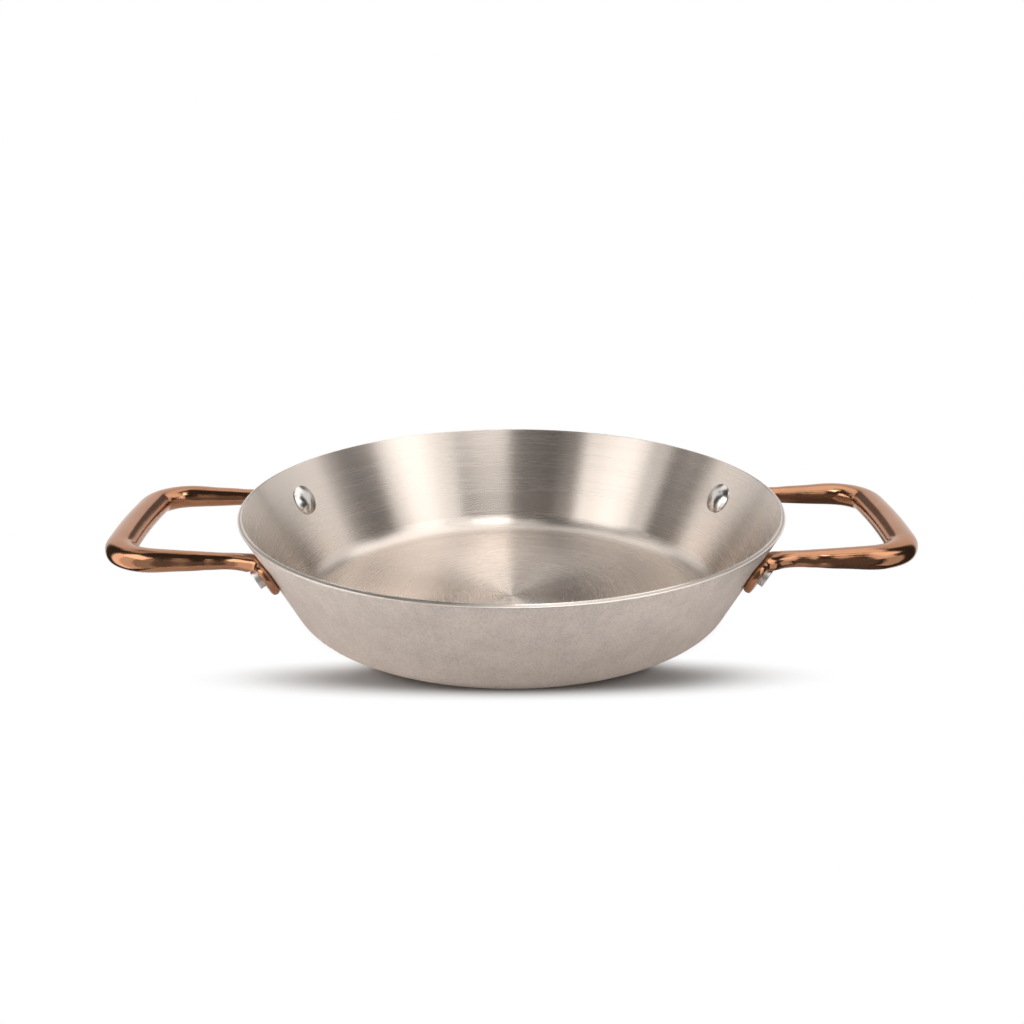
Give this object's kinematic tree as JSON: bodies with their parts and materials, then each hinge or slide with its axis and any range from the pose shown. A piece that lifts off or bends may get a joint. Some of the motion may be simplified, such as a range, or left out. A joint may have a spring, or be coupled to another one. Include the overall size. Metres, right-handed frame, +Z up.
{
  "type": "frying pan",
  "caption": "Low round two-handled serving and frying pan with a sloping clad steel wall and riveted cast loop handles.",
  "frame": {"origin": "centre of the flat base, on the surface that the pan stands on", "axes": "+Z up out of the bowl, X from the left handle to the right handle, the picture is taken from the -Y side"},
  "size_m": [0.2916, 0.1998, 0.0403],
  "materials": {
    "brushed_inside": "stainless steel brushed in circles round the pan's axis",
    "aluminium_core": "bare aluminium, seen only as the middle line of the cut rim",
    "tumbled_outside": "stainless steel, tumbled to a fine even matt",
    "copper_plated_handle": "cast stainless steel, polished and plated a rosy copper colour",
    "polished_rivet": "polished stainless steel"
  },
  "bodies": {
    "root": {"inner_steel_skin": "brushed_inside", "aluminium_core": "aluminium_core", "outer_steel_skin": "tumbled_outside", "right_handle": "copper_plated_handle", "left_handle": "copper_plated_handle", "rivet_left_front": "polished_rivet", "rivet_left_back": "polished_rivet", "rivet_right_front": "polished_rivet", "rivet_right_back": "polished_rivet"}
  },
  "joints": []
}
